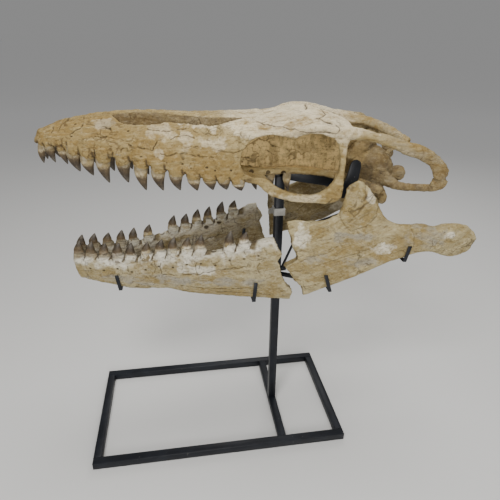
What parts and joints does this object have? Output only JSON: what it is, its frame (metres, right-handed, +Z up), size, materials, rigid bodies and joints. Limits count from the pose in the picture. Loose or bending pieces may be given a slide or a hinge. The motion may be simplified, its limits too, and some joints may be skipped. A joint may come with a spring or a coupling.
{
  "type": "mosasaur skull fossil on stand",
  "caption": "Long toothed skull of a large sea lizard with open jaws in separate bones, on a post that rises from a low rectangular frame of square tube.",
  "frame": {"origin": "on the floor under the middle of the post, where the base's middle crossbar lies", "axes": "+X towards the back of the skull, so that the snout points to -X; +Y towards the animal's right side; +Z up"},
  "size_m": [0.9373, 0.34, 0.8356],
  "materials": {
    "bone": "matt fossil bone, ochre and tan",
    "bone_pale": "matt fossil bone, cream",
    "steel": "satin blue-black paint",
    "strap": "pale grey woven strap"
  },
  "bodies": {
    "root": {"articular_left": "bone", "articular_right": "bone", "braincase": "bone", "coronoid_left": "bone", "coronoid_right": "bone", "dentary_left": "bone", "dentary_right": "bone", "frontal": "bone_pale", "internarial_bar": "bone", "jugal_left": "bone_pale", "jugal_right": "bone_pale", "maxilla_left": "bone", "maxilla_right": "bone", "palate": "bone", "parietal": "bone", "parietal_ramus_left": "bone", "parietal_ramus_right": "bone", "postorbital_bar_left": "bone", "postorbital_bar_right": "bone", "postorbitofrontal_left": "bone", "postorbitofrontal_right": "bone", "prefrontal_left": "bone_pale", "prefrontal_right": "bone_pale", "premaxilla": "bone", "squamosal_left": "bone", "squamosal_right": "bone", "stand_arm": "steel", "stand_bolt": "steel", "stand_cradle_bar": "steel", "stand_cradle_left": "steel", "stand_cradle_right": "steel", "stand_crossbar_front": "steel", "stand_crossbar_middle": "steel", "stand_crossbar_rear": "steel", "stand_hook_dentary_left_1": "steel", "stand_hook_dentary_left_2": "steel", "stand_hook_dentary_right_1": "steel", "stand_hook_dentary_right_2": "steel", "stand_hook_ramus_left_1": "steel", "stand_hook_ramus_left_2": "steel", "stand_hook_ramus_right_1": "steel", "stand_hook_ramus_right_2": "steel", "stand_post": "steel", "stand_rail_dentary_left": "steel", "stand_rail_dentary_right": "steel", "stand_rail_left": "steel", "stand_rail_ramus_left": "steel", "stand_rail_ramus_right": "steel", "stand_rail_right": "steel", "stand_strap": "strap", "stand_strut_dentary_left": "steel", "stand_strut_dentary_right": "steel", "stand_strut_ramus_left": "steel", "stand_strut_ramus_right": "steel", "surangular_left": "bone", "surangular_right": "bone", "suspensorium_left": "bone", "suspensorium_right": "bone"}
  },
  "joints": []
}
